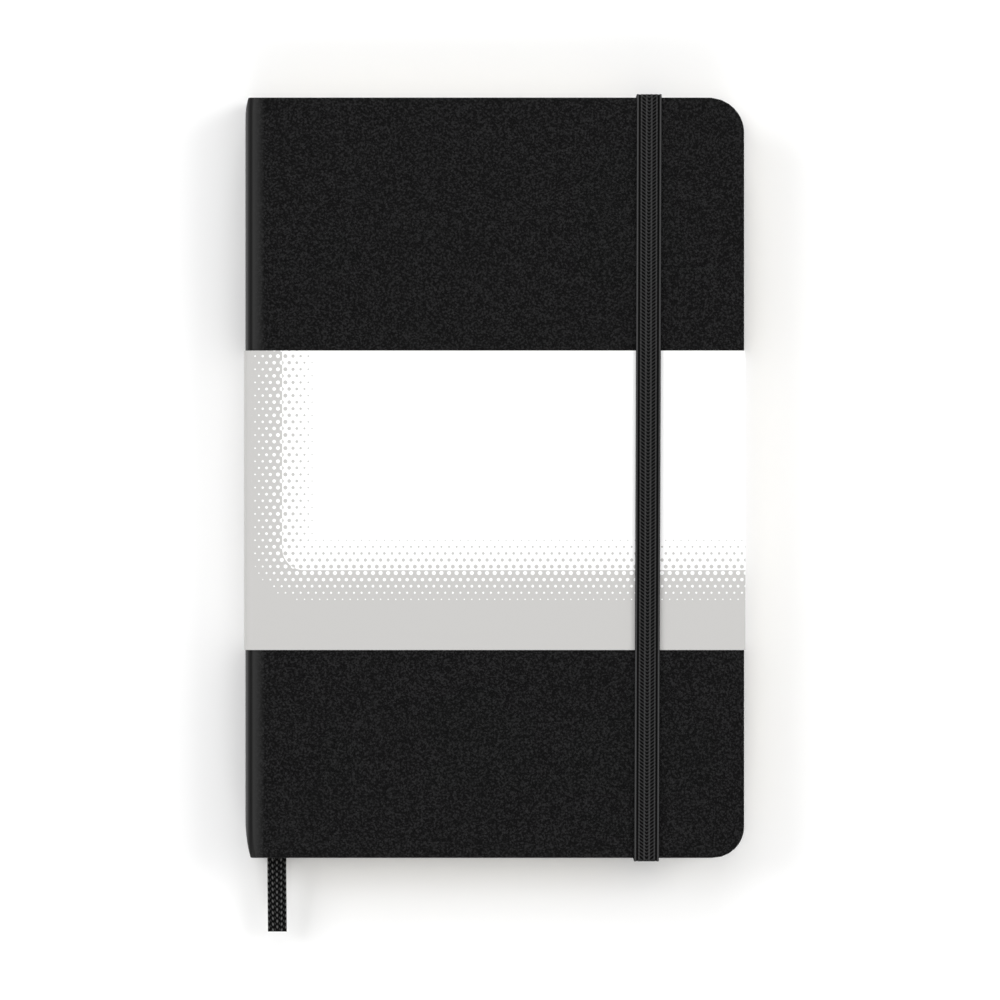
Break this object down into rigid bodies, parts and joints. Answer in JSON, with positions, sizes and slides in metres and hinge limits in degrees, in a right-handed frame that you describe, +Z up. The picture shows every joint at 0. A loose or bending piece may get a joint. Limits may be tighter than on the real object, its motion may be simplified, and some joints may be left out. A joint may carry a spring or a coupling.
{
  "type": "pocket notebook",
  "caption": "Pocket notebook with a black grained cover, rounded corners, an elastic closure, a ribbon bookmark and a paper band.",
  "frame": {"origin": "middle of the closed book's footprint, on the table under its back cover, without the ribbon", "axes": "+X from the spine to the fore edge, +Y from tail to head, +Z up through the pages to the front cover"},
  "size_m": [0.0922, 0.1549, 0.0138],
  "materials": {
    "cover_skin": "fine grained black cover material",
    "case_board": "grey board",
    "endpaper": "matt ivory",
    "page_paper": "matt ivory",
    "band_paper": "smooth white",
    "elastic": "woven black elastic",
    "ribbon": "woven black ribbon",
    "pocket_card": "matt ivory card",
    "pocket_cloth": "black book cloth"
  },
  "bodies": {
    "root": {"back_cover_skin": "cover_skin", "back_cover_board": "case_board", "back_pastedown": "endpaper", "back_flyleaf": "endpaper", "signature_07": "page_paper", "signature_08": "page_paper", "signature_09": "page_paper", "signature_10": "page_paper", "signature_11": "page_paper", "signature_12": "page_paper", "pocket_front_panel": "pocket_card", "pocket_head_gusset": "pocket_cloth", "pocket_tail_gusset": "pocket_cloth", "band_back_wrap": "band_paper", "elastic_head_back_end": "elastic", "elastic_tail_back_end": "elastic", "ribbon_bookmark": "ribbon"},
    "spine": {"spine_skin": "cover_skin", "spine_strip": "case_board", "band_spine_strip": "band_paper"},
    "front_cover": {"front_cover_skin": "cover_skin", "front_cover_board": "case_board", "front_pastedown": "endpaper", "band_front_wrap": "band_paper"},
    "flyleaf": {"front_flyleaf": "endpaper"},
    "section_01": {"signature_01": "page_paper"},
    "section_02": {"signature_02": "page_paper"},
    "section_03": {"signature_03": "page_paper"},
    "section_04": {"signature_04": "page_paper"},
    "section_05": {"signature_05": "page_paper"},
    "section_06": {"signature_06": "page_paper"},
    "elastic_loop": {"elastic_front_run": "elastic", "elastic_head_arm": "elastic", "elastic_tail_arm": "elastic"}
  },
  "joints": [
    {"name": "spine_hinge", "type": "hinge", "parent": "root", "child": "spine", "pos_m": [-0.04486, 0, 0.00129], "axis": [0, -1, 0], "range_deg": [0, 90]},
    {"name": "front_cover_hinge", "type": "hinge", "parent": "spine", "child": "front_cover", "pos_m": [-0.04486, 0, 0.01175], "axis": [0, -1, 0], "range_deg": [0, 90]},
    {"name": "flyleaf_turn", "type": "hinge", "parent": "root", "child": "flyleaf", "pos_m": [-0.044, 0, 0.0066], "axis": [0, -1, 0], "range_deg": [0, 180]},
    {"name": "section_01_turn", "type": "hinge", "parent": "root", "child": "section_01", "pos_m": [-0.044, 0, 0.0066], "axis": [0, -1, 0], "range_deg": [0, 180]},
    {"name": "section_02_turn", "type": "hinge", "parent": "root", "child": "section_02", "pos_m": [-0.044, 0, 0.0066], "axis": [0, -1, 0], "range_deg": [0, 180]},
    {"name": "section_03_turn", "type": "hinge", "parent": "root", "child": "section_03", "pos_m": [-0.044, 0, 0.0066], "axis": [0, -1, 0], "range_deg": [0, 180]},
    {"name": "section_04_turn", "type": "hinge", "parent": "root", "child": "section_04", "pos_m": [-0.044, 0, 0.0066], "axis": [0, -1, 0], "range_deg": [0, 180]},
    {"name": "section_05_turn", "type": "hinge", "parent": "root", "child": "section_05", "pos_m": [-0.044, 0, 0.0066], "axis": [0, -1, 0], "range_deg": [0, 180]},
    {"name": "section_06_turn", "type": "hinge", "parent": "root", "child": "section_06", "pos_m": [-0.044, 0, 0.0066], "axis": [0, -1, 0], "range_deg": [0, 180]},
    {"name": "elastic_release", "type": "hinge", "parent": "root", "child": "elastic_loop", "pos_m": [0.03238, 0, -0.00119], "axis": [0, 1, 0], "range_deg": [0, 90], "deforming": ["elastic_front_run", "elastic_head_arm", "elastic_tail_arm"]}
  ],
  "couplings": [
    {"joint": "spine_hinge", "follows": "front_cover_hinge", "ratio": 1},
    {"joint": "flyleaf_turn", "follows": "front_cover_hinge", "ratio": 2},
    {"joint": "section_01_turn", "follows": "front_cover_hinge", "ratio": 1.995},
    {"joint": "section_02_turn", "follows": "front_cover_hinge", "ratio": 1.99},
    {"joint": "section_03_turn", "follows": "front_cover_hinge", "ratio": 1.985},
    {"joint": "section_04_turn", "follows": "front_cover_hinge", "ratio": 1.98},
    {"joint": "section_05_turn", "follows": "front_cover_hinge", "ratio": 1.975},
    {"joint": "section_06_turn", "follows": "front_cover_hinge", "ratio": 1.97},
    {"joint": "elastic_release", "follows": "front_cover_hinge", "ratio": 1}
  ]
}
